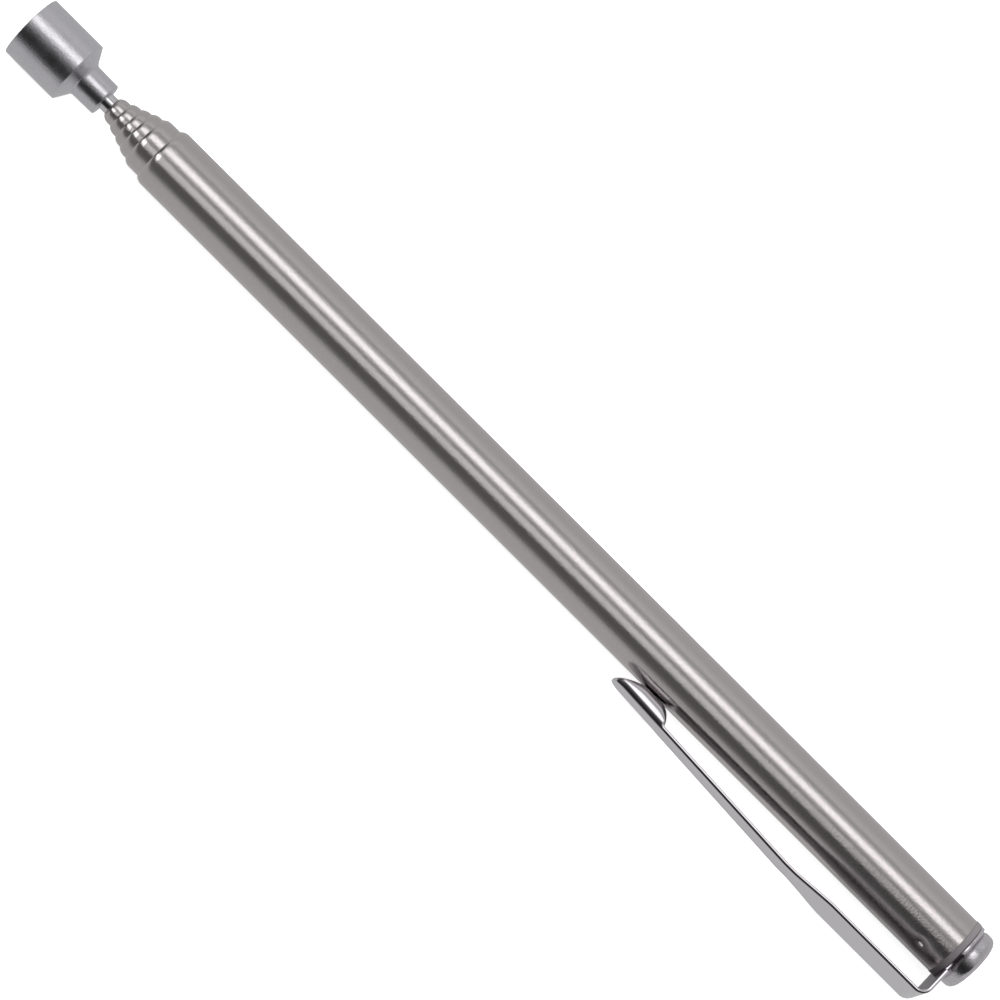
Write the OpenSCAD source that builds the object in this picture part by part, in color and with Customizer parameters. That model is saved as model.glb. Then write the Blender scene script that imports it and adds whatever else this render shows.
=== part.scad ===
// Pocket-size telescopic magnetic pick-up tool, closed, lying on its side.
// Millimetres, +Z up. The tool's axis runs along X with the magnet at -X and the pocket clip at -Y.
// The origin is on the surface under the tool, in the middle of its length and width.

/* [Magnet head] */
// Outside diameter of the magnet cup
cup_d = 7.3; // [7.1:0.1:7.6]
// Length of the cup's straight side
cup_len = 6.7; // [6.2:0.1:8]
// Length of the magnet head from the magnet's face to the end of its neck
head_len = 10.7; // [10.2:0.1:12.5]
// Diameter of the neck that is pressed on the rod
neck_d = 3.8; // [3.4:0.05:4.4]
// Diameter of the disc magnet
magnet_d = 6; // [5:0.1:6.2]
// Thickness of the disc magnet
magnet_len = 5; // [3:0.1:5]

/* [Telescope] */
// Overall length, closed
closed_len = 135; // [128:0.5:142]
// Diameter of the solid rod in the middle
rod_d = 2; // [1.8:0.05:2.1]
// Outside diameter of the smallest moving tube
first_tube_d = 3; // [2.9:0.05:3.2]
// Step in diameter from each tube to the next
tube_step = 0.8; // [0.8:0.02:0.86]
// Wall of every tube
tube_wall = 0.25; // [0.22:0.01:0.26]
// Length of rod that shows when the tool is closed
rod_show = 0.9; // [0.5:0.05:2]
// Length of each moving tube that shows when the tool is closed, smallest tube first
tube_show = [1.3, 1.15, 1.05, 1.2, 2.1]; // [0.9:0.05:2.4]
// Length of a friction ring
ring_len = 5.2; // [3.5:0.1:5.6]

/* [End stop] */
// Length of the plug inside the grip tube
plug_len = 5; // [4.4:0.1:6]
// Thickness of the plug's flange
flange_len = 0.72; // [0.5:0.02:1]
// Diameter of the end button
button_d = 6.75; // [6:0.05:7]
// Height of the end button
button_h = 2.06; // [1.6:0.02:2.6]

/* [Pocket clip] */
// Thickness of the clip's strip
clip_t = 0.46; // [0.4:0.02:0.5]
// Distance from the tool's axis to the clip's outer face
clip_reach = 6.85; // [6.6:0.05:7.5]
// Width of the strip near the end button
clip_wide = 6.75; // [6:0.05:7]
// Width of the strip where its narrow part begins
clip_narrow = 3.8; // [3.4:0.1:4.2]
// Width of the strip at the bead near its tip
clip_bead_w = 3.15; // [2.9:0.05:3.3]
// Distance from the magnet's face to the clip's tip
clip_tip = 88.3; // [86:0.1:91]
// Slope of the narrow part towards the grip tube, in degrees
clip_slope = 3.1; // [2.9:0.05:3.2]

/* [Hidden] */
$fn = 96;
eps = 0.01;

// Sections are numbered from the rod, 0, through the moving tubes, 1 to 5, to the grip tube, 6.
grip = 6;
mouth_gap = 0.03;
guide_gap = 0.02;
ring_gap = 0.015;
rest_gap = 0.1;
seat_gap = 0.05;
ring_wall = 0.18;
ring_crown = 0.04;
ring_slot = 0.4;
bush_flange = 0.5;
bush_spigot = 2.2;
bush_wall = 0.45;
groove_len = ring_len + 0.1;
bush_len = groove_len + 2 * bush_flange;
tail_r = 0.5;
lip_round = 0.85;
lip_slope = 60;
mouth_len = 0.45;
lip_len = 0.85;
lip_edge = 0.05;

function section_r(k) = k == 0 ? rod_d / 2 : (first_tube_d + (k - 1) * tube_step) / 2;
function bore_r(k) = section_r(k) - tube_wall;
function mouth_r(k) = section_r(k - 1) + mouth_gap;
function ring_outer_r(k) = bore_r(k + 1) - ring_gap;
function ring_inner_r(k) = ring_outer_r(k) - ring_wall;

// Every z below is a distance behind the magnet's face, along the tool.
web_end_z = magnet_len + 1.2;
button_z = closed_len - button_h;
collar_z = button_z - clip_t;
grip_end_z = collar_z - flange_len;
plug_z = grip_end_z - plug_len;
function front_z(k) = k == 1 ? head_len + rod_show : front_z(k - 1) + tube_show[k - 2];
function bush_end_z(k) = plug_z - rest_gap - (5 - k) * (bush_len + bush_spigot + rest_gap);
function rear_z(k) = k == grip ? grip_end_z : bush_end_z(k) - bush_len;

button_shank_r = 1.2;
dimple_z = grip_end_z - 2.75;
dimple_r = 0.85;
dimple_depth = 0.32;
dimple_angle = 36.5;
groove_depth = 0.35;
shank_z = plug_z + 1;

bend_r = 0.9;
bend_z = collar_z - bend_r;
bend_u = clip_reach - clip_t - bend_r;
bend_gap = 0.12;
neck_half = 2.25;
leg_u = 2.95;
notch_r = 2.95;
notch_angle = 77;
taper_z = 119.8;
taper_len = 4.8;
taper_ease = 0.25;
kink_z = 113.6;
nose_len = 1.5;
bead_nose = 4.3;
bead_flat = 0.9;
bead_heel = 1.8;
bead_inset = 0.02;
bead_half = clip_bead_w / 2 - bead_inset;
bead_gap = 0.05;
bead_setback = 0.3;

front_x = closed_len / 2;
axis_y = (clip_reach - cup_d / 2) / 2;
axis_z = cup_d / 2;

// Puts a part that is drawn along Z, with X down, on the tool's axis.
module on_axis() {
    translate([-front_x, axis_y, axis_z]) rotate([0, 90, 0]) children();
}

// A solid of revolution about the tool's axis, from [radius, z] points.
module turned(points) {
    on_axis() rotate_extrude() polygon(points);
}

function oval(center, rx, ry, from, to, n = 8) = [
    for (i = [0:n])
        let (a = from + (to - from) * i / n)
        [center[0] + rx * cos(a), center[1] + ry * sin(a)]
];

module magnet() {
    edge = 0.15;
    r = magnet_d / 2;
    color("gainsboro") turned([
        [0, 0], [r - edge, 0], [r, edge], [r, magnet_len - edge], [r - edge, magnet_len],
        [0, magnet_len]
    ]);
}

module magnet_cup() {
    edge = 0.15;
    corner = 0.2;
    cup_r = cup_d / 2;
    neck_r = neck_d / 2;
    pocket_r = magnet_d / 2 + guide_gap;
    fillet = 0.3;
    fillet_z = cup_len + 1.2;
    color("silver") turned(concat(
        [[pocket_r + edge, 0], [cup_r - edge, 0], [cup_r, edge]],
        oval([cup_r - edge, cup_len - edge], edge, edge, 0, 60, 4),
        oval([neck_r + fillet, fillet_z], -fillet, fillet, -60, 0, 5),
        oval([neck_r - corner, head_len - corner], corner, corner, 0, 90, 5),
        [[rod_d / 2, head_len], [rod_d / 2, web_end_z], [0, web_end_z],
         [0, magnet_len + seat_gap], [pocket_r, magnet_len + seat_gap], [pocket_r, edge]]
    ));
}

module tip_rod() {
    edge = 0.15;
    start = web_end_z + seat_gap;
    r = rod_d / 2;
    tail_end = bush_end_z(0) - seat_gap;
    color("silver") turned([
        [0, start], [r - edge, start], [r, start + edge], [r, rear_z(0)], [tail_r, rear_z(0)],
        [tail_r, tail_end], [0, tail_end]
    ]);
}

// A spool behind section k, whose two flanges run in the next tube and hold the friction ring.
module spool(k, hole_r) {
    z = rear_z(k);
    flange_r = bore_r(k + 1) - guide_gap;
    floor_r = ring_inner_r(k) - guide_gap;
    turned([
        [hole_r, z], [flange_r, z], [flange_r, z + bush_flange], [floor_r, z + bush_flange],
        [floor_r, z + bush_flange + groove_len], [flange_r, z + bush_flange + groove_len],
        [flange_r, z + bush_len], [hole_r, z + bush_len]
    ]);
}

module rod_bush() {
    color("goldenrod") spool(0, tail_r);
}

module bush(k) {
    z = rear_z(k);
    hole_r = bore_r(k) - bush_wall;
    color("goldenrod") union() {
        spool(k, hole_r);
        turned([[hole_r, z - bush_spigot], [bore_r(k), z - bush_spigot], [bore_r(k), z + eps],
            [hole_r, z + eps]]);
    }
}

// A split sleeve whose crowned staves press on the bore of the next tube.
module friction_ring(k) {
    outer_r = ring_outer_r(k);
    inner_r = ring_inner_r(k);
    z = rear_z(k) + bush_flange + (groove_len - ring_len) / 2;
    shoulder = ring_len / 5;
    color("peru") difference() {
        turned([
            [inner_r, z], [outer_r - ring_crown, z], [outer_r, z + shoulder],
            [outer_r, z + ring_len - shoulder], [outer_r - ring_crown, z + ring_len],
            [inner_r, z + ring_len]
        ]);
        on_axis() {
            translate([0, -ring_slot / 2, z - 1]) cube([outer_r + 1, ring_slot, ring_len + 2]);
            for (a = [90:90:270])
                rotate(a) translate([0, -ring_slot / 2, z + shoulder])
                    cube([outer_r + 1, ring_slot, ring_len - 2 * shoulder]);
        }
    }
}

// A drawn tube whose front end is rolled in to a mouth around the next smaller section.
module tube_shell(k) {
    z = front_z(k);
    r = section_r(k);
    lip_r = mouth_r(k) + lip_edge;
    roll_r = (r - lip_r) / (1 - cos(lip_slope));
    turned(concat(
        [[mouth_r(k), z + lip_edge]],
        oval([r - roll_r, z + lip_round], roll_r, lip_round / sin(lip_slope), -lip_slope, 0),
        [[r, rear_z(k)], [bore_r(k), rear_z(k)], [bore_r(k), z + lip_len],
         [mouth_r(k), z + mouth_len]]
    ));
}

module tube(k) {
    color("lightgray") tube_shell(k);
}

// Places its children at the two punched dimples that lock the plug in the grip tube.
module at_dimples() {
    on_axis() for (a = [0, 180])
        rotate(a - 90 - dimple_angle)
            translate([section_r(grip) + dimple_r - dimple_depth, 0, dimple_z]) children();
}

module grip_tube() {
    color("lightgray") difference() {
        union() {
            tube_shell(grip);
            intersection() {
                at_dimples() sphere(dimple_r + tube_wall);
                on_axis() translate([0, 0, dimple_z - 2]) cylinder(r = section_r(grip) - eps, h = 4);
            }
        }
        at_dimples() sphere(dimple_r);
    }
}

module end_plug() {
    edge = 0.12;
    flange_lip = 0.05;
    r = bore_r(grip);
    flange_r = section_r(grip) + flange_lip;
    floor_r = r - groove_depth;
    groove_w = 1.7;
    color("dimgray") turned([
        [button_shank_r, plug_z], [r - edge, plug_z], [r, plug_z + edge],
        [r, dimple_z - groove_w / 2], [floor_r, dimple_z - groove_w / 2],
        [floor_r, dimple_z + groove_w / 2], [r, dimple_z + groove_w / 2], [r, grip_end_z],
        [flange_r, grip_end_z], [flange_r, collar_z - edge], [flange_r - edge, collar_z],
        [button_shank_r, collar_z]
    ]);
}

module end_button() {
    foot_step = 0.3;
    foot_lean = 0.04;
    foot_len = 0.33;
    fullness = 0.55;
    r = button_d / 2;
    dome = 2 / 3 * button_h;
    color("silver") turned(concat(
        [[0, shank_z], [button_shank_r, shank_z], [button_shank_r, button_z],
         [r - foot_step, button_z], [r - foot_lean, button_z + foot_len]],
        [for (a = [0:7.5:90])
            [r * pow(cos(a), fullness), closed_len - dome * (1 - pow(sin(a), fullness))]]
    ));
}

// The strip's half width at z: wide behind the taper, then narrowing slowly from there to the bead.
function clip_half(z) =
    let (
        t = min(1, max(0, (z - (taper_z - taper_len)) / taper_len)),
        n = min(1, max(0, (z - clip_tip - bead_nose) / (taper_z - taper_len - clip_tip - bead_nose))),
        narrow = clip_bead_w + (clip_narrow - clip_bead_w) * n
    )
    (narrow + (clip_wide - narrow) * (t + taper_ease * t * (3 * t - 2 * t * t - 1))) / 2;

// The clip's outline seen square to the strip, from the bend to the rounded tip.
module clip_outline() {
    nose = oval([0, clip_tip + nose_len], clip_bead_w / 2, nose_len, 0, -180, 20);
    side = [for (i = [0:10]) clip_corner(taper_z - taper_len * i / 10)];
    far = [for (i = [10:-1:0]) [-side[i][0], side[i][1]]];
    rotate([90, 0, 0]) linear_extrude(clip_reach + 1) polygon(concat(
        [[clip_wide / 2, bend_z + 1]], side, nose, far, [[-clip_wide / 2, bend_z + 1]]
    ));
}

function clip_corner(z) = [clip_half(z), z];

// An outline of [distance from the axis, z] points, as wide as the clip.
module clip_profile(points) {
    rotate([90, 0, -90]) linear_extrude(clip_wide, center = true) polygon(points);
}

// Ring, leg and bend, cut as one flat plate that turns towards the arm over a quarter bend.
module clip_collar() {
    ring_r = section_r(grip);
    notch_far = 2 * ring_r;
    color("silver") on_axis() union() {
        translate([0, 0, collar_z]) linear_extrude(clip_t) difference() {
            union() {
                circle(ring_r);
                polygon([
                    [-neck_half, 0], [-neck_half, -leg_u], [-clip_wide / 2, -leg_u],
                    [-clip_wide / 2, -bend_u], [clip_wide / 2, -bend_u],
                    [clip_wide / 2, -leg_u], [neck_half, -leg_u], [neck_half, 0]
                ]);
            }
            circle(button_shank_r);
            for (side = [-1, 1])
                polygon([
                    [side * notch_r * sin(notch_angle), -notch_r * cos(notch_angle)],
                    [side * notch_far, -notch_far / tan(notch_angle)], [side * notch_far, -leg_u],
                    [side * neck_half, -leg_u],
                    [side * neck_half, -sqrt(notch_r * notch_r - neck_half * neck_half)]
                ]);
        }
        translate([-clip_wide / 2, -bend_u, bend_z]) rotate([90, 0, 90])
            linear_extrude(clip_wide) intersection() {
                difference() {
                    circle(bend_r + clip_t);
                    circle(bend_r);
                }
                translate([-2 * bend_r, 0]) square(2 * bend_r);
            }
    }
}

// The strip from the bend forwards, with a long solid bead on its inner face that rests on the tube.
module clip_arm() {
    start = bend_z - bend_gap;
    slope = tan(clip_slope);
    tip_u = clip_reach - (kink_z - clip_tip) * slope;
    bead_z = clip_tip + bead_nose + bead_flat / 2;
    bead_u = clip_reach - clip_t / 2 - (kink_z - bead_z) * slope;
    wall = bead_u - section_r(grip) - bead_gap - bead_half;
    color("silver") on_axis() union() {
        intersection() {
            clip_outline();
            clip_profile([
                [clip_reach, start], [clip_reach, kink_z], [tip_u, clip_tip],
                [tip_u - clip_t, clip_tip], [clip_reach - clip_t, kink_z],
                [clip_reach - clip_t, start]
            ]);
        }
        translate([0, -bead_u, bead_z]) rotate([clip_slope, 0, 0]) {
            translate([0, wall, 0]) rotate_extrude(angle = 180) bead_outline();
            rotate([-90, 0, 0]) linear_extrude(wall) union() {
                mirror([0, 1]) bead_outline();
                rotate(180) bead_outline();
            }
        }
    }
}

// Half of the bead's outline beside the Y axis, with its pointed nose towards -Y.
module bead_outline() {
    polygon(concat(
        oval([0, -bead_flat / 2], bead_half, bead_nose - bead_setback, -90, 0, 12),
        oval([0, bead_flat / 2], bead_half, bead_heel, 0, 90, 10)
    ));
}

magnet();
magnet_cup();
tip_rod();
rod_bush();
friction_ring(0);  // rod_friction_ring
for (k = [1:5]) {
    tube(k);
    bush(k);
    friction_ring(k);
}
grip_tube();
end_plug();
clip_collar();
clip_arm();
end_button();
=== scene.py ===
"""Studio scene of the telescopic magnetic pick-up tool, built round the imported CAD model."""

import math

import bmesh
import bpy
from mathutils import Matrix, Vector


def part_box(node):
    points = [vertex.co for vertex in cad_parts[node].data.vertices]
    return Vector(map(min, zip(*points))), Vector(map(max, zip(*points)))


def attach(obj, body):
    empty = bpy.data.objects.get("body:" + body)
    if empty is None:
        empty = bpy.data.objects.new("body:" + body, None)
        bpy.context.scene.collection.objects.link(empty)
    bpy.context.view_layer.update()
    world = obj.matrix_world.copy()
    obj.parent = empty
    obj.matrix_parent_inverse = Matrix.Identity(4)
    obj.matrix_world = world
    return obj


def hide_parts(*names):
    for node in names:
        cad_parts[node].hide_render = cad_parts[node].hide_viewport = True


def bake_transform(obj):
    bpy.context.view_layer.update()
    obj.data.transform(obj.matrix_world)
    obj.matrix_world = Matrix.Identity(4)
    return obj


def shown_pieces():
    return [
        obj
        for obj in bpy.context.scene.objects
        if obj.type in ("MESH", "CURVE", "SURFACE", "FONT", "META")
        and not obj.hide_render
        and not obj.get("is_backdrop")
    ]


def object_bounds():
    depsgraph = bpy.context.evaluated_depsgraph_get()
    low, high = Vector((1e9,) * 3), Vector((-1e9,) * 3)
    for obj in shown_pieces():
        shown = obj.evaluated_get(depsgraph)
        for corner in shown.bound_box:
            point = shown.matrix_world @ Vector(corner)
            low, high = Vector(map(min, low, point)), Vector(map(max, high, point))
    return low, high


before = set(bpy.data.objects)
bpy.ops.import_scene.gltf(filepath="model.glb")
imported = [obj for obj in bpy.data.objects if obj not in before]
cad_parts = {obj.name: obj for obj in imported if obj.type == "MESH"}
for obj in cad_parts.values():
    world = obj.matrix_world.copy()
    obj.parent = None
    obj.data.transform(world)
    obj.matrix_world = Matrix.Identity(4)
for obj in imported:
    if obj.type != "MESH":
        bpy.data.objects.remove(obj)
bounds_at_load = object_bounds()

MM = 0.001
SEGMENTS = 256
CORNER_STEPS = 5
SUPPORT = 0.04  # a loop this far from each rounded corner keeps the faces beside it flat, in mm
SHARP = math.radians(32)


# ---- Where things are, in millimetres, read from the CAD model ----


def extent(node):
    """Front x, rear x and outside radius of a turned node, in mm."""
    low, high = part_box(node)
    return low.x / MM, high.x / MM, (high.z - low.z) / 2 / MM


grip_low, grip_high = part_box("grip_tube")
AXIS_Y = (grip_low.y + grip_high.y) / 2 / MM
AXIS_Z = (grip_low.z + grip_high.z) / 2 / MM
GRIP_REAR, GRIP_R = extent("grip_tube")[1:]
WALL = 0.25  # of every tube
PLATE = 0.46  # thickness of the clip's strip


# ---- Mesh code ----


def rounded(corners):
    """Points of a closed outline whose (x, r, corner radius) corners are rounded off."""
    points = []
    count = len(corners)
    for i, (x, r, radius) in enumerate(corners):
        here = Vector((x, r))
        if radius == 0:
            points.append(here)
            continue
        before = Vector(corners[i - 1][:2]) - here
        after = Vector(corners[(i + 1) % count][:2]) - here
        half = before.angle(after) / 2
        reach = min(radius / math.tan(half), 0.48 * before.length, 0.48 * after.length)
        start = here + before.normalized() * reach
        end = here + after.normalized() * reach
        if before.length > 2 * reach + SUPPORT:
            points.append(start + before.normalized() * SUPPORT)
        for step in range(CORNER_STEPS + 1):
            t = step / CORNER_STEPS
            points.append(start * (1 - t) ** 2 + here * 2 * t * (1 - t) + end * t**2)
        if after.length > 2 * reach + SUPPORT:
            points.append(end + after.normalized() * SUPPORT)
    return points


def smooth(t):
    """An S curve from 0 at t = 0 to 1 at t = 1, level at both ends."""
    t = min(1.0, max(0.0, t))
    return t * t * (3 - 2 * t)


def new_piece(name, bm, body, slot, material, *nodes):
    """The finished mesh as an object that rides on a body and stands for those CAD nodes."""
    bmesh.ops.remove_doubles(bm, verts=bm.verts, dist=1e-7)
    bmesh.ops.recalc_face_normals(bm, faces=bm.faces)
    mesh = bpy.data.meshes.new(name)
    bm.to_mesh(mesh)
    bm.free()
    mesh.shade_smooth()
    mesh.set_sharp_from_angle(angle=SHARP)
    mesh.materials.append(material)
    piece = bpy.data.objects.new(name, mesh)
    bpy.context.scene.collection.objects.link(piece)
    if body:
        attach(piece, body)
    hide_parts(*nodes)
    return piece


def skin(bm, rings, closed_path=False):
    """Faces between each ring of points and the next. Every ring has the same number of points."""
    made = [[bm.verts.new(point) for point in ring] for ring in rings]
    pairs = list(zip(made, made[1:]))
    if closed_path:
        pairs.append((made[-1], made[0]))
    for one, two in pairs:
        for i in range(len(one)):
            j = (i + 1) % len(one)
            bm.faces.new((one[i], one[j], two[j], two[i]))


def circle(x, r, press=None, segments=SEGMENTS):
    """A ring of points about the tool's axis, pressed in where press says so."""
    ring = []
    for i in range(segments):
        angle = 2 * math.pi * i / segments
        here = r - press(x, angle) if press else r
        y = AXIS_Y + here * math.sin(angle)
        z = AXIS_Z + here * math.cos(angle)
        ring.append(Vector((x, y, z)) * MM)
    return ring


def turned(outline):
    """A solid of revolution about the tool's axis from a closed (x, r) outline."""
    bm = bmesh.new()
    skin(bm, [circle(x, r) for x, r in outline], closed_path=True)
    return bm


# ---- Materials ----


class Nodes:
    """Short calls for a node tree."""

    def __init__(self, tree):
        self.tree = tree
        tree.nodes.clear()

    def add(self, kind, inputs=None, **settings):
        node = self.tree.nodes.new(kind)
        for key, value in settings.items():
            setattr(node, key, value)
        for key, value in (inputs or {}).items():
            self.put(node.inputs[key], value)
        return node

    def put(self, socket, value):
        if isinstance(value, bpy.types.NodeSocket):
            self.tree.links.new(value, socket)
        else:
            socket.default_value = value

    def math(self, operation, *values):
        node = self.add("ShaderNodeMath", operation=operation)
        for socket, value in zip(node.inputs, values):
            self.put(socket, value)
        return node.outputs[0]

    def noise(self, vector, scale, detail=2.0, roughness=0.5):
        inputs = {"Vector": vector, "Scale": scale, "Detail": detail, "Roughness": roughness}
        return self.add("ShaderNodeTexNoise", inputs).outputs["Fac"]

    def remap(self, value, low, high, to_low, to_high):
        inputs = {
            "Value": value,
            "From Min": low,
            "From Max": high,
            "To Min": to_low,
            "To Max": to_high,
        }
        return self.add("ShaderNodeMapRange", inputs).outputs["Result"]


def metal(name, color, roughness, vary, speck, speck_scale, dark=0.0):
    """A plated or polished metal with uneven gloss and a fine grain.

    vary is how far the roughness strays, speck the height of the grain in mm, speck_scale how
    many grains there are in a metre, and dark how far the grain tarnishes the colour.
    """
    patch_scale = 450.0
    tarnish = 0.55
    material = bpy.data.materials.new(name)
    material.use_nodes = True
    nodes = Nodes(material.node_tree)
    place = nodes.add("ShaderNodeTexCoord").outputs["Object"]
    grain = nodes.noise(place, speck_scale, detail=3.0, roughness=0.6)
    patches = nodes.noise(place, patch_scale)
    gloss = nodes.remap(patches, 0.3, 0.7, roughness - vary, roughness + vary)
    bump = nodes.add(
        "ShaderNodeBump", {"Height": grain, "Distance": speck * MM, "Strength": 1.0}
    )
    tone = nodes.add(
        "ShaderNodeMix",
        {"Factor": nodes.remap(grain, 0.35, 0.75, 0.0, dark)},
        data_type="RGBA",
    )
    tone.inputs["A"].default_value = (*color, 1)
    tone.inputs["B"].default_value = (*(tarnish * c for c in color), 1)
    shader = nodes.add(
        "ShaderNodeBsdfPrincipled",
        {
            "Base Color": tone.outputs["Result"],
            "Metallic": 1.0,
            "Roughness": gloss,
            "Normal": bump.outputs["Normal"],
        },
    )
    nodes.add("ShaderNodeOutputMaterial", {"Surface": shader.outputs[0]})
    return material


def plastic(name, color, roughness):
    """A moulded plastic with a faint uneven grain."""
    material = bpy.data.materials.new(name)
    material.use_nodes = True
    nodes = Nodes(material.node_tree)
    place = nodes.add("ShaderNodeTexCoord").outputs["Object"]
    grain_scale, grain_height, vary = 4000.0, 0.01, 0.06
    grain = nodes.noise(place, grain_scale)
    bump = nodes.add(
        "ShaderNodeBump", {"Height": grain, "Distance": grain_height * MM, "Strength": 1.0}
    )
    shader = nodes.add(
        "ShaderNodeBsdfPrincipled",
        {
            "Base Color": (*color, 1),
            "Roughness": nodes.remap(grain, 0.3, 0.7, roughness - vary, roughness + vary),
            "Normal": bump.outputs["Normal"],
        },
    )
    nodes.add("ShaderNodeOutputMaterial", {"Surface": shader.outputs[0]})
    return material


STEEL = metal(
    "tube steel",
    (0.59, 0.554, 0.552),
    roughness=0.165,
    vary=0.03,
    speck=0.013,
    speck_scale=5000.0,
    dark=0.15,
)
CUP_NICKEL = metal(
    "cup nickel",
    (0.665, 0.652, 0.683),
    roughness=0.275,
    vary=0.04,
    speck=0.017,
    speck_scale=4000.0,
    dark=0.15,
)
CLIP_STEEL = metal(
    "clip steel", (0.68, 0.657, 0.69), roughness=0.14, vary=0.03, speck=0.0016, speck_scale=2500.0
)
ROD_STEEL = metal(
    "rod steel", (0.7, 0.69, 0.71), roughness=0.13, vary=0.03, speck=0.0008, speck_scale=3500.0
)
BUTTON_NICKEL = metal(
    "button nickel",
    (0.69, 0.665, 0.695),
    roughness=0.2,
    vary=0.06,
    speck=0.014,
    speck_scale=4500.0,
    dark=0.45,
)
# Painted shade: a darker, rougher copy of the clip steel for the faces that look at the tube.
CLIP_INSIDE_SHADED = metal(
    "clip inside painted shade", (0.48, 0.46, 0.48), roughness=0.28, vary=0.04, speck=0.003, speck_scale=3000.0
)
MAGNET_NICKEL = metal(
    "magnet nickel",
    (0.72, 0.71, 0.7),
    roughness=0.12,
    vary=0.03,
    speck=0.0005,
    speck_scale=3000.0,
)
BRASS = metal(
    "bush brass", (0.78, 0.57, 0.29), roughness=0.25, vary=0.05, speck=0.001, speck_scale=3000.0
)
BRONZE = metal(
    "ring bronze", (0.72, 0.42, 0.22), roughness=0.2, vary=0.05, speck=0.001, speck_scale=3000.0
)
PLUG_PLASTIC = plastic("plug plastic", (0.21, 0.19, 0.2), 0.5)


# ---- Turned pieces ----


def build_magnet():
    edge = 0.15
    front, rear, r = extent("magnet")
    outline = rounded([(front, 0, 0), (front, r, edge), (rear, r, edge), (rear, 0, 0)])
    new_piece(
        "disc_magnet", turned(outline), "tip", "magnet_nickel", MAGNET_NICKEL, "magnet"
    )


def build_cup():
    side_len = 6.7
    shoulder_len = 1.0
    rim = 0.15
    neck_r = 1.9
    neck_draft = 0.05
    glue_gap = 0.02
    air_gap = 0.05
    web = 1.2
    magnet_rear, magnet_r = extent("magnet")[1:]
    front, rear, r = extent("magnet_cup")
    rod_r = extent("tip_rod")[2]
    pocket_r = magnet_r + glue_gap
    floor_x = magnet_rear + air_gap
    side_end = front + side_len
    outline = rounded(
        [
            (front, pocket_r, 0.1),
            (front, r, rim),
            (side_end, r, 0.2),
            (side_end + shoulder_len, neck_r + neck_draft, 0.45),
            (rear, neck_r, 0.25),
            (rear, rod_r, 0.05),
            (floor_x + web, rod_r, 0),
            (floor_x + web, 0, 0),
            (floor_x, 0, 0),
            (floor_x, pocket_r, 0),
        ]
    )
    new_piece("cup", turned(outline), "tip", "cup_nickel", CUP_NICKEL, "magnet_cup")


def build_rod():
    front, rear, r = extent("tip_rod")
    edge = 0.15
    spigot_r = 0.5
    spigot_x = extent("rod_bush")[0]
    outline = rounded(
        [
            (front, 0, 0),
            (front, r, edge),
            (spigot_x, r, 0),
            (spigot_x, spigot_r, 0),
            (rear, spigot_r, 0),
            (rear, 0, 0),
        ]
    )
    new_piece("rod", turned(outline), "tip", "cup_nickel", ROD_STEEL, "tip_rod")


def tube_outline(node, inner_node, extra=()):
    """A drawn tube whose front end is rolled in to a mouth around the section inside it.

    extra holds more places along the tube's side, for what is pressed into it.
    """
    mouth_gap = 0.03
    mouth_len = 0.45
    lip_edge = 0.05
    lip_len = 0.85
    lip_slope = math.radians(60)
    steps = 14
    front, rear, r = extent(node)
    mouth_r = extent(inner_node)[2] + mouth_gap
    roll_r = (r - mouth_r - lip_edge) / (1 - math.cos(lip_slope))
    nose = []
    for step in range(steps + 1):
        angle = lip_slope * (1 - step / steps)
        x = front + lip_len * (1 - math.sin(angle) / math.sin(lip_slope))
        nose.append(Vector((x, r - roll_r * (1 - math.cos(angle)))))
    side = [Vector((front + lip_len + SUPPORT, r))]
    side += [Vector((x, r)) for x in extra]
    side += [Vector((rear, r)), Vector((rear, r - WALL))]
    bore = [Vector((x, r - WALL)) for x in reversed(extra)]
    bore += [Vector((front + lip_len, r - WALL)), Vector((front + mouth_len, mouth_r))]
    return [Vector((front + lip_edge, mouth_r))] + nose + side + bore


def build_tubes():
    """The five moving tubes, the thinnest first."""
    for k in range(1, 6):
        inner = "tip_rod" if k == 1 else f"tube_{k - 1}"
        new_piece(
            f"telescope_tube_{k}",
            turned(tube_outline(f"tube_{k}", inner)),
            f"section_{k}",
            "tube_steel",
            STEEL,
            f"tube_{k}",
        )


# Two punched dimples hold the plug. Angles run from straight up towards +Y about the axis.
DIMPLE_ANGLES = (math.radians(-53.5), math.radians(126.5))
DIMPLE_X = GRIP_REAR - 2.75
DIMPLE_REACH = 2.0


def dimple_press(x, angle):
    """How far a punched dimple, and the dent round it, push the tube's surface in at a place."""
    nick_half, nick_slope, nick_soft, nick_run, nick_fade = 0.2, 1.3, 0.04, 0.15, 0.36
    dent_depth, dent_width = 0.13, 0.6
    along = abs(x - DIMPLE_X)
    if along > DIMPLE_REACH:
        return 0.0
    deepest = 0.0
    for middle in DIMPLE_ANGLES:
        turn = (angle - middle + math.pi) % (2 * math.pi) - math.pi
        across = GRIP_R * turn
        wall = nick_slope * (nick_half - math.hypot(across, nick_soft))
        nick = nick_soft * math.log1p(math.exp(min(40, wall / nick_soft)))
        nick *= 1 - smooth((along - nick_run) / nick_fade)
        dent = dent_depth * math.exp(-(along**2 + across**2) / (2 * dent_width**2))
        deepest = max(deepest, nick + dent)
    return deepest


def bore_press(x, angle):
    """The bulge that a dimple raises in the bore, which ends in the plug's groove."""
    deepest = 0.33
    return min(deepest, dimple_press(x, angle))


def build_grip():
    steps = 90
    zone = [DIMPLE_X - DIMPLE_REACH + 2 * DIMPLE_REACH * i / steps for i in range(steps + 1)]
    bm = bmesh.new()
    rings = []
    for x, r in tube_outline("grip_tube", "tube_5", zone):
        press = dimple_press if r > GRIP_R - WALL / 2 else bore_press
        rings.append(circle(x, r, press, 2 * SEGMENTS))
    skin(bm, rings, closed_path=True)
    new_piece("grip_shell", bm, "grip", "tube_steel", STEEL, "grip_tube")


SHANK_R = 1.2  # of the button, and of the plug's bore that holds it


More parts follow.
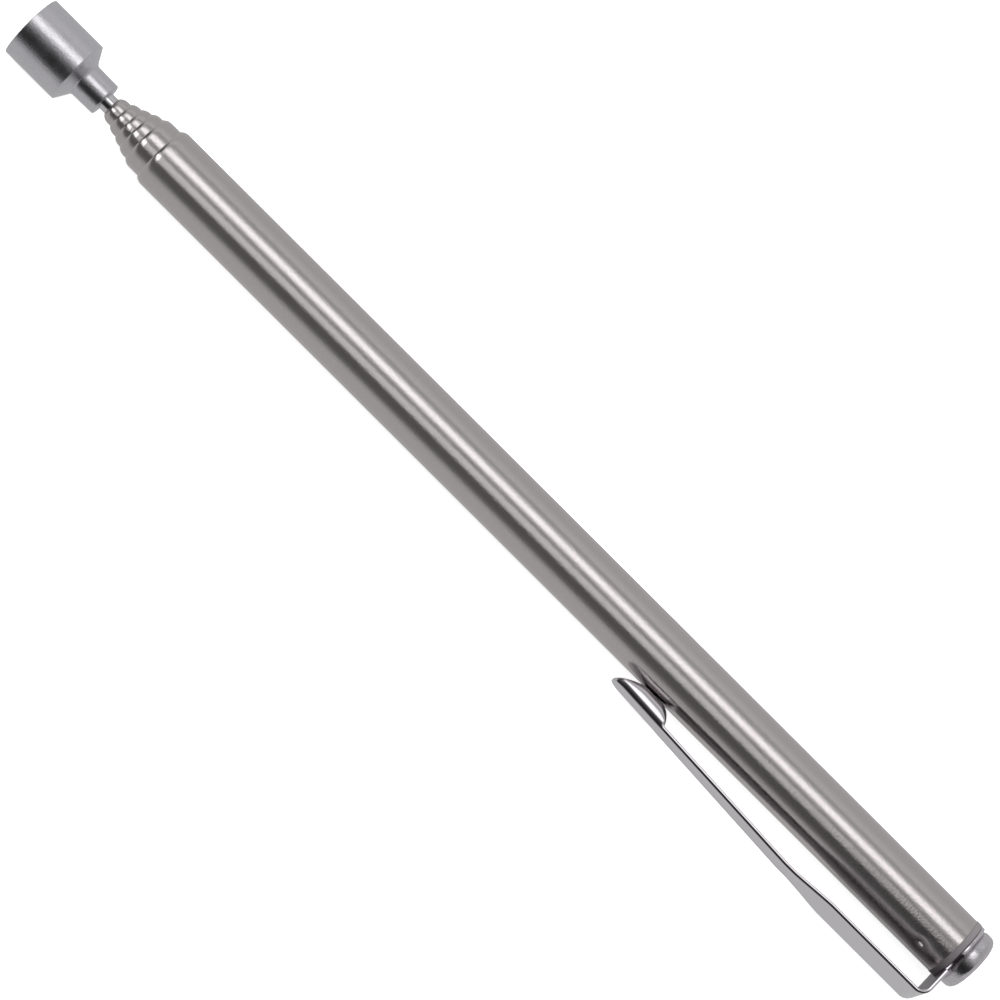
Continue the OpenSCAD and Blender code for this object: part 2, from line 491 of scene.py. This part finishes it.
def build_plug():
    edge = 0.14
    lead_in = 0.12
    groove_len = 1.7
    groove_depth = 0.35
    front, rear, flange_r = extent("end_plug")
    bore_r = GRIP_R - WALL
    floor_r = bore_r - groove_depth
    groove_front = DIMPLE_X - groove_len / 2
    groove_rear = DIMPLE_X + groove_len / 2
    outline = rounded(
        [
            (front, SHANK_R, 0),
            (front, bore_r, lead_in),
            (groove_front, bore_r, 0),
            (groove_front, floor_r, 0),
            (groove_rear, floor_r, 0),
            (groove_rear, bore_r, 0),
            (GRIP_REAR, bore_r, 0),
            (GRIP_REAR, flange_r, edge),
            (rear, flange_r, edge),
            (rear, SHANK_R, 0),
        ]
    )
    new_piece("plug", turned(outline), "grip", "plug_plastic", PLUG_PLASTIC, "end_plug")


def build_button():
    front, rear, r = extent("end_button")
    seat = extent("clip_collar")[1]
    dome = (rear - seat) * 2 / 3
    foot_top = seat + 0.33
    # The foot flares from the seat to the dome's widest place: (x, how far inside the radius).
    foot = [
        (seat, 0.3),
        (seat + 0.04, 0.25),
        (foot_top - 0.04, 0.07),
        (foot_top, 0.04),
        (foot_top + 0.06, 0.01),
    ]
    fullness = 0.55
    draft = 0.05
    steps = 36
    outline = [Vector((front, 0)), Vector((front, SHANK_R)), Vector((seat, SHANK_R))]
    outline += [Vector((x, r - inset)) for x, inset in foot]
    for step in range(steps + 1):
        angle = math.pi / 2 * step / steps
        height = math.sin(angle) ** fullness
        width = max(0.0, math.cos(angle)) ** fullness * (1 - draft * height**2)
        outline.append(Vector((rear - dome * (1 - height), r * width if step < steps else 0)))
    new_piece(
        "button", turned(outline), "grip", "button_nickel", BUTTON_NICKEL, "end_button"
    )


# ---- The pocket clip: one strip from the ring under the button to the bead ----

# x runs along the tool, and u away from its axis towards -Y.
CLIP_LOW, CLIP_HIGH = (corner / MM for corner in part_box("clip_arm"))
CLIP_TIP = CLIP_LOW.x
CLIP_OUT = AXIS_Y - CLIP_LOW.y
MID = PLATE / 2  # from the outer face to the strip's middle
ARM_U = CLIP_OUT - MID

# The leg turns into the arm at the bend, and the arm leans in from the kink on.
BEND_R = 0.9
COLLAR_X = extent("clip_collar")[1] - PLATE
BEND_X = COLLAR_X - BEND_R
BEND_U = CLIP_OUT - PLATE - BEND_R
KINK_X = CLIP_TIP + 25.3
SLOPE = math.radians(3.1)

# Half widths of the strip, and where they change: at the shoulder and along the taper.
WIDE_HALF = (CLIP_HIGH.z - CLIP_LOW.z) / 2
NARROW_HALF = 1.9
BEAD_END_HALF = 1.575
NECK_HALF = 2.25
SHOULDER_U = 2.95
TAPER_X = CLIP_TIP + 31.5
TAPER_LEN = 4.8
NOSE_LEN = 1.5

# The bead rises over its nose, keeps its depth, and drops over its heel. It clears the grip at
# its middle by the gap, and as the arm leans, it touches the grip where its nose ends.
BEAD_GAP = 0.05
BEAD_NOSE = 3.4
BEAD_FLAT = 1.8
BEAD_HEEL = 1.95
BEAD_MIDDLE = CLIP_TIP + 4.75
BEAD_DEPTH = CLIP_OUT - (KINK_X - BEAD_MIDDLE) * math.tan(SLOPE) - GRIP_R - BEAD_GAP
NOSE_END = CLIP_TIP + BEAD_NOSE
HEEL_END = CLIP_TIP + BEAD_NOSE + BEAD_FLAT + BEAD_HEEL

# How far the outer edge is broken across the strip and into it, and the inner edge's radius.
SHEARED_EDGES = (0.15, 0.15, 0.23)
ARM_EDGES = (0.13, 0.2, 0.12)
EDGE_STEPS = 4
BEAD_STEPS = 16


def arm_half(x):
    """The arm's half width at a place along the tool, its rounded nose included."""
    ease = 0.25
    round_end = CLIP_TIP + NOSE_LEN
    if x < round_end:
        t = (round_end - x) / NOSE_LEN
        return BEAD_END_HALF * math.sqrt(max(0.0, 1 - t * t))
    narrow_end = TAPER_X - TAPER_LEN
    n = min(1.0, max(0.0, (x - NOSE_END) / (narrow_end - NOSE_END)))
    narrow = BEAD_END_HALF + (NARROW_HALF - BEAD_END_HALF) * n
    t = min(1.0, max(0.0, (x - narrow_end) / TAPER_LEN))
    return narrow + (WIDE_HALF - narrow) * (t + ease * t * (3 * t - 2 * t * t - 1))


def collar_half(s):
    """The flat ring's and leg's half width at a distance s from the tool's axis."""
    notch_start, notch_end, notch_half = 0.74, 1.9, 2.88
    ring_end = notch_start - 0.03
    corner = 0.08
    step_rise = 0.015
    if s < ring_end:
        return math.sqrt(max(0.0, GRIP_R**2 - s**2))
    if s < notch_end:
        t = (s - notch_start) / (notch_end - notch_start)
        return notch_half + (NECK_HALF - notch_half) * t
    if s < SHOULDER_U - step_rise:
        return NECK_HALF
    return WIDE_HALF - corner * max(0.0, 1 - (s - SHOULDER_U) / corner) ** 2


def bead_section(x):
    """The bead's depth and plan at a place along the tool.

    That is how deep it reaches below the outer face, its half width as a part of the strip's,
    and how far the strip's own side has turned into the bead's.
    """
    tip_depth, nose_shape, heel_shape, heel_plan = 0.3, 1.7, 2.3, 5
    last_part = 0.3
    if x < NOSE_END:
        ahead = max(0.0, 1 - (x - CLIP_TIP) / BEAD_NOSE)
        return tip_depth + (BEAD_DEPTH - tip_depth) * (1 - ahead**nose_shape), 1.0, 1.0
    t = min(1.0, max(0.0, (x - NOSE_END - BEAD_FLAT) / BEAD_HEEL))
    depth = PLATE + (BEAD_DEPTH - PLATE) * (1 - t**heel_shape)
    return depth, math.sqrt(1 - t**heel_plan), 1 - smooth((t - 1 + last_part) / last_part)


def ring_and_leg():
    """Rows across the flat ring, from the side away from the arm, and along the leg."""
    ring_steps = 24
    rows = []
    # Distances from the tool's axis, closest together where the strip's width changes.
    places = [-GRIP_R * math.cos(math.pi / 2 * i / ring_steps) for i in range(ring_steps + 1)]
    places += [0.2, 0.4, 0.55, 0.66, 0.70, 0.71, 0.74, 0.80]
    places += [1.0, 1.25, 1.5, 1.75, 1.9, 2.2, 2.6]
    places += [SHOULDER_U + step for step in (-0.04, -0.02, 0, 0.02, 0.04, 0.08, 0.12)]
    places += [3.8, 4.4, 5.0, BEND_U - SUPPORT]
    for s in places:
        rows.append((Vector((COLLAR_X + MID, s)), Vector((1, 0)), collar_half(s), None, 0.0))
    return rows


def rear_bend():
    """Rows round the bend between the leg and the arm."""
    steps = 16
    rows = []
    for i in range(steps + 1):
        turn = i / steps
        out = Vector((math.cos(math.pi / 2 * turn), math.sin(math.pi / 2 * turn)))
        middle = Vector((BEND_X, BEND_U)) + out * (BEND_R + MID)
        rows.append((middle, out, WIDE_HALF, None, turn))
    return rows


def straight_arm(kink_half):
    """Rows along the arm from the bend to just before the kink."""
    steps = 24
    places = [BEND_X - SUPPORT, BEND_X - 0.5, TAPER_X + 0.2]
    places += [TAPER_X - TAPER_LEN * i / steps for i in range(steps + 1)]
    places += [KINK_X + kink_half + 0.3]
    out = Vector((0, 1))
    return [(Vector((x, ARM_U)), out, arm_half(x), None, 1.0) for x in places]


def kink(kink_r, kink_half):
    """Rows round the slight bend in the arm."""
    steps = 8
    rows = []
    for i in range(steps + 1):
        angle = SLOPE * i / steps
        out = Vector((-math.sin(angle), math.cos(angle)))
        center = Vector((KINK_X + kink_half, ARM_U - kink_r))
        middle = center + out * kink_r
        rows.append((middle, out, arm_half(middle.x), None, 1.0))
    return rows


def leaning_arm():
    """Rows along the leaning part of the arm, over the bead and round the nose."""
    heel_steps, rise_steps, nose_steps = 20, 14, 24
    quarter = math.pi / 2
    places = [KINK_X - 1, KINK_X - 8, HEEL_END + 3, HEEL_END + 0.5, HEEL_END + 0.05]
    for i in range(heel_steps + 1):
        places.append(HEEL_END - BEAD_HEEL * (1 - math.cos(quarter * i / heel_steps)))
    places += [BEAD_MIDDLE]
    for i in range(rise_steps):
        places.append(NOSE_END - (BEAD_NOSE - NOSE_LEN) * i / rise_steps)
    for i in range(nose_steps + 1):
        places.append(CLIP_TIP + NOSE_LEN * (1 - math.sin(quarter * i / nose_steps)))
    out = Vector((-math.sin(SLOPE), math.cos(SLOPE)))
    rows = []
    for x in places:
        u = ARM_U - (KINK_X - x) * math.tan(SLOPE)
        rows.append((Vector((x, u)), out, arm_half(x), x, 1.0))
    return rows


def clip_stations():
    """The strip's sections from the ring's far side to the arm's tip.

    Each is its middle as x and u, the direction to its outer face, its half width, its x where
    there is a bead, and how far round the bend it is, from 0 on the leg to 1 on the arm.
    """
    kink_r = 4.0
    kink_half = kink_r * math.tan(SLOPE / 2)
    rows = ring_and_leg() + rear_bend() + straight_arm(kink_half)
    return rows + kink(kink_r, kink_half) + leaning_arm()


def curve(start, corner, end):
    """Points along a bend from start to end that a corner pulls towards itself."""
    points = []
    for i in range(EDGE_STEPS + 1):
        t = i / EDGE_STEPS
        points.append(
            tuple(
                a * (1 - t) ** 2 + b * 2 * t * (1 - t) + c * t**2
                for a, b, c in zip(start, corner, end)
            )
        )
    return points


def strip_side(half, edges, bead_half, depth):
    """Half of a flat strip's section, with a bead under it: (across, depth) points."""
    full_room = 0.5
    near, far = 0.35, 0.65
    room = min(1.0, half / full_room)
    across, into, inner = (size * room for size in edges)
    face = (half - across, 0.0)
    side = (half, into)
    near_face = (half - far * across, near * into)
    near_side = (half - near * across, far * into)
    points = curve((half - 1.5 * across, 0.0), face, near_face)
    points += curve(near_side, side, (half, 1.4 * into))
    inner = min(inner, max(0.0, half - bead_half))
    points += curve((half, PLATE - inner), (half, PLATE), (half - inner, PLATE))
    points.append((max(half - inner - SUPPORT, bead_half), PLATE))
    return points + bead_curve(bead_half, PLATE, depth)


def spoon_side(half, depth):
    """Half of the beaded end's section, whose side leans in towards the outer face."""
    lean, lean_shape, corner, corner_shape = 0.24, 1.35, 0.08, 8
    crowding = 1.6
    side = min(0.62, 0.7 * depth)
    narrow = half / BEAD_END_HALF
    count = 3 * (EDGE_STEPS + 1)
    points = []
    for i in range(count + 1):
        d = side * (i / count) ** crowding
        left = 1 - d / side
        inset = lean * left**lean_shape + corner * left**corner_shape
        points.append((half - narrow * inset, d))
    return points + bead_curve(half, side, depth)


def bead_curve(half, top, bottom):
    """The rounded underside of the bead, from its side down to its lowest point."""
    shape = 3.2
    points = []
    for i in range(BEAD_STEPS + 1):
        drop = math.sin(math.pi / 2 * i / BEAD_STEPS)
        across = half * math.sqrt(max(0.0, 1 - drop**shape))
        points.append((across if i < BEAD_STEPS else 0.0, top + (bottom - top) * drop))
    return points


def clip_row(middle, out, half, bead_x, bend):
    """One section of the strip as a ring of points in the frame."""
    extra_round = 0.06
    edges = [a + (b - a) * bend for a, b in zip(SHEARED_EDGES, ARM_EDGES)]
    edges[2] += extra_round * math.sin(math.pi * bend)
    depth, part, spoon = bead_section(bead_x) if bead_x is not None else (PLATE, 0.0, 0.0)
    right = strip_side(half, edges, half * part, depth)
    if spoon > 0:
        blend = zip(right, spoon_side(half, depth))
        right = [
            (flat[0] + (full[0] - flat[0]) * spoon, flat[1] + (full[1] - flat[1]) * spoon)
            for flat, full in blend
        ]
    left = [(-across, depth) for across, depth in reversed(right[:-1])]
    face = max(0.0, right[0][0] - SUPPORT)
    section = right + left + [(-face, 0.0), (face, 0.0)]
    row = []
    for across, depth in section:
        place = middle + out * (MID - depth)
        row.append(Vector((place.x, AXIS_Y - place.y, AXIS_Z + across)) * MM)
    return row


def build_clip():
    """The clip as one mesh, from the ring and leg to the arm and its bead."""
    flat_enough = 0.97
    bm = bmesh.new()
    rows = [clip_row(*station) for station in clip_stations()]
    skin(bm, rows)
    clip = new_piece(
        "pocket_clip", bm, None, "clip_steel", CLIP_STEEL, "clip_collar", "clip_arm"
    )
    # The faces that look at the tube, behind the bead, are rougher than the polished outside, and
    # darker with painted shade from the tube beside them.
    clip.data.materials.append(CLIP_INSIDE_SHADED)
    for face in clip.data.polygons:
        inward = max(-face.normal.x, face.normal.y)
        if face.center.x > HEEL_END * MM and inward > flat_enough:
            face.material_index = 1
    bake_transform(clip)


build_magnet()
build_cup()
build_rod()
build_tubes()
build_grip()
build_plug()
build_button()
build_clip()

# The spools and friction rings inside the tubes stay as the CAD drew them.
for name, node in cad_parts.items():
    finish = None
    if name == "rod_bush" or name.startswith("bush_"):
        finish = BRASS
    elif "friction_ring" in name:
        finish = BRONZE
    if finish:
        node.data.materials.clear()
        node.data.materials.append(finish)


# ---- Studio ----

CAMERA_ELEVATION = math.radians(76.2)
CAMERA_DISTANCE = 0.540  # in metres
CAMERA_ROLL = math.radians(44.93)
CAMERA_LENS = 192.12  # in mm
AIM_DROP = 0.43 * MM  # from the tool's middle, towards the clip, to where the camera aims


def build_camera():
    """The photograph's view: from nearly straight above, with the tool lying corner to corner."""
    to_camera = Vector((0, -math.cos(CAMERA_ELEVATION), math.sin(CAMERA_ELEVATION)))
    right = Vector((1, 0, 0))
    up = to_camera.cross(right)
    low, high = bounds_at_load
    middle_x = (low[0] + high[0]) / 2
    aim = Vector((middle_x, AXIS_Y * MM, AXIS_Z * MM)) - up * AIM_DROP
    turned_right = right * math.cos(CAMERA_ROLL) + up * math.sin(CAMERA_ROLL)
    turned_up = up * math.cos(CAMERA_ROLL) - right * math.sin(CAMERA_ROLL)
    camera_data = bpy.data.cameras.new("camera")
    camera_data.lens = CAMERA_LENS
    camera_data.sensor_width = 36.0
    camera_data.clip_start = 0.01
    camera = bpy.data.objects.new("camera", camera_data)
    bpy.context.scene.collection.objects.link(camera)
    place = aim + to_camera * CAMERA_DISTANCE
    columns = Matrix((turned_right, turned_up, to_camera)).transposed()
    camera.matrix_world = Matrix.Translation(place) @ columns.to_4x4()
    bpy.context.scene.camera = camera


def build_floor():
    """A white table that glows for the camera. Mirrors see a greyer glow than the camera does,
    with painted shade that is darkest beside the tool.
    """
    half_side = 3.0
    beside, open_floor = 0.14, 0.54
    shade_reach = 6 * MM
    bm = bmesh.new()
    corners = [(-1, -1), (1, -1), (1, 1), (-1, 1)]
    bm.faces.new([bm.verts.new((half_side * x, half_side * y, 0)) for x, y in corners])
    mesh = bpy.data.meshes.new("floor")
    bm.to_mesh(mesh)
    bm.free()
    floor = bpy.data.objects.new("floor", mesh)
    bpy.context.scene.collection.objects.link(floor)
    material = bpy.data.materials.new("floor")
    material.use_nodes = True
    nodes = Nodes(material.node_tree)
    seen = nodes.add("ShaderNodeEmission", {"Color": (1, 1, 1, 1), "Strength": 0.8})
    table = nodes.add("ShaderNodeBsdfDiffuse", {"Color": (0.96, 0.96, 0.96, 1)})
    lit = nodes.add("ShaderNodeAddShader")
    nodes.put(lit.inputs[0], seen.outputs[0])
    nodes.put(lit.inputs[1], table.outputs[0])
    # Painted shade: the glow that mirrors see is dimmed by ambient occlusion beside the tool.
    sky = nodes.add("ShaderNodeAmbientOcclusion", {"Distance": shade_reach}, samples=16)
    painted_shade_glow = nodes.remap(sky.outputs["AO"], 0.1, 0.45, beside, open_floor)
    mirrored = nodes.add("ShaderNodeEmission", {"Color": (1, 1, 1, 1), "Strength": painted_shade_glow})
    by_camera = nodes.add("ShaderNodeLightPath").outputs["Is Camera Ray"]
    mix = nodes.add("ShaderNodeMixShader", {"Fac": by_camera})
    nodes.put(mix.inputs[1], mirrored.outputs[0])
    nodes.put(mix.inputs[2], lit.outputs[0])
    nodes.add("ShaderNodeOutputMaterial", {"Surface": mix.outputs[0]})
    mesh.materials.append(material)
    floor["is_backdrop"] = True


# How bright the studio is by direction: degrees from straight up, towards +Y, about the X axis.
STUDIO = [
    (-180, 0.52),
    (-92, 0.52),
    (-84, 0.47),
    (-76, 0.34),
    (-70, 0.12),
    (-63, 0.03),
    (-44, 0.02),
    (-36, 0.02),
    (-28, 0.04),
    (-20, 0.10),
    (-13, 0.24),
    (-6, 0.34),
    (-1, 0.5),
    (3, 0.65),
    (7, 1.7),
    (21, 1.7),
    (27, 0.8),
    (34, 0.52),
    (40, 0.37),
    (45, 0.5),
    (50, 0.68),
    (75, 0.56),
    (92, 0.52),
    (180, 0.52),
]


def build_world():
    """A studio with a long light over the tool, dark cards beside the clip and pale walls."""
    world = bpy.data.worlds.new("studio")
    bpy.context.scene.world = world
    world.use_nodes = True
    nodes = Nodes(world.node_tree)
    direction = nodes.add("ShaderNodeTexCoord").outputs["Generated"]
    split = nodes.add("ShaderNodeSeparateXYZ", {"Vector": direction})
    angle = nodes.math("ARCTAN2", split.outputs["Y"], split.outputs["Z"])
    turn = nodes.math("MULTIPLY_ADD", angle, 1 / (2 * math.pi), 0.5)
    ramp = nodes.add("ShaderNodeFloatCurve", {"Value": turn})
    brightness = ramp.mapping.curves[0]
    top = 2.0
    wall_level = 0.52
    points = [((degrees + 180) / 360, level / top) for degrees, level in STUDIO]
    brightness.points[0].location = points[0]
    brightness.points[-1].location = points[-1]
    for point in points[1:-1]:
        brightness.points.new(*point)
    for point in brightness.points:
        point.handle_type = "VECTOR"
    ramp.mapping.update()
    # Towards the rear the level is held down, and beyond the tip only the walls are bright.
    behind = nodes.remap(split.outputs["X"], 0.16, 0.26, top, 0.5)
    ahead = nodes.remap(split.outputs["X"], -0.88, -0.5, 0.1, top)
    low_down = nodes.math("ABSOLUTE", angle)
    walls = nodes.remap(low_down, math.radians(66), math.radians(86), 0.0, wall_level)
    ends = nodes.math("MINIMUM", behind, nodes.math("MAXIMUM", ahead, walls))
    level = nodes.math("MINIMUM", nodes.math("MULTIPLY", ramp.outputs[0], top), ends)
    studio = nodes.add("ShaderNodeBackground", {"Color": (1, 1, 1, 1), "Strength": level})
    wall = nodes.add("ShaderNodeBackground", {"Color": (1, 1, 1, 1), "Strength": 1.0})
    by_camera = nodes.add("ShaderNodeLightPath").outputs["Is Camera Ray"]
    mix = nodes.add("ShaderNodeMixShader", {"Fac": by_camera})
    nodes.put(mix.inputs[1], studio.outputs[0])
    nodes.put(mix.inputs[2], wall.outputs[0])
    nodes.add("ShaderNodeOutputWorld", {"Surface": mix.outputs[0]})


def strip_light(name, angle, width, low_x, high_x, radiance, receivers):
    """A long glowing strip at an angle over the tool that only the receivers reflect."""
    distance = 0.6
    lamp = bpy.data.lights.new(name, "AREA")
    lamp.shape = "RECTANGLE"
    lamp.size = high_x - low_x
    lamp.size_y = width
    lamp.energy = radiance * math.pi * lamp.size * lamp.size_y
    strip = bpy.data.objects.new(name, lamp)
    away = Vector((0, math.sin(angle), math.cos(angle)))
    strip.location = Vector(((low_x + high_x) / 2, AXIS_Y * MM, AXIS_Z * MM)) + away * distance
    strip.rotation_euler = (-angle, 0, 0)
    strip.visible_camera = False
    bpy.context.scene.collection.objects.link(strip)
    strip.light_linking.receiver_collection = receivers


def build_lights():
    """Soft light from above, and three strip lights that the tubes alone reflect."""
    sun = bpy.data.lights.new("soft top light", "SUN")
    sun.energy = 2.4
    sun.angle = math.radians(120)
    top = bpy.data.objects.new("soft top light", sun)
    top.rotation_euler = (math.radians(-42), 0, 0)
    top.visible_glossy = False
    bpy.context.scene.collection.objects.link(top)

    tubes = bpy.data.collections.new("tubes")
    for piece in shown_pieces():
        if "tube" in piece.name or piece.name == "grip_shell":
            tubes.objects.link(piece)
    rear_end = 0.13
    beside_tip = -0.28
    angle = math.radians(-24.3)
    width = 0.233
    strip_light("strip light", angle, width, beside_tip, rear_end, 0.76, tubes)
    strip_light("strip light beyond the tip", angle, width, -1.7, beside_tip, 2.3, tubes)
    strip_light("dim strip light", math.radians(-52), 0.375, -3.0, rear_end, 0.095, tubes)


build_camera()
build_floor()
build_world()
build_lights()
bpy.context.scene.view_settings.view_transform = "Standard"
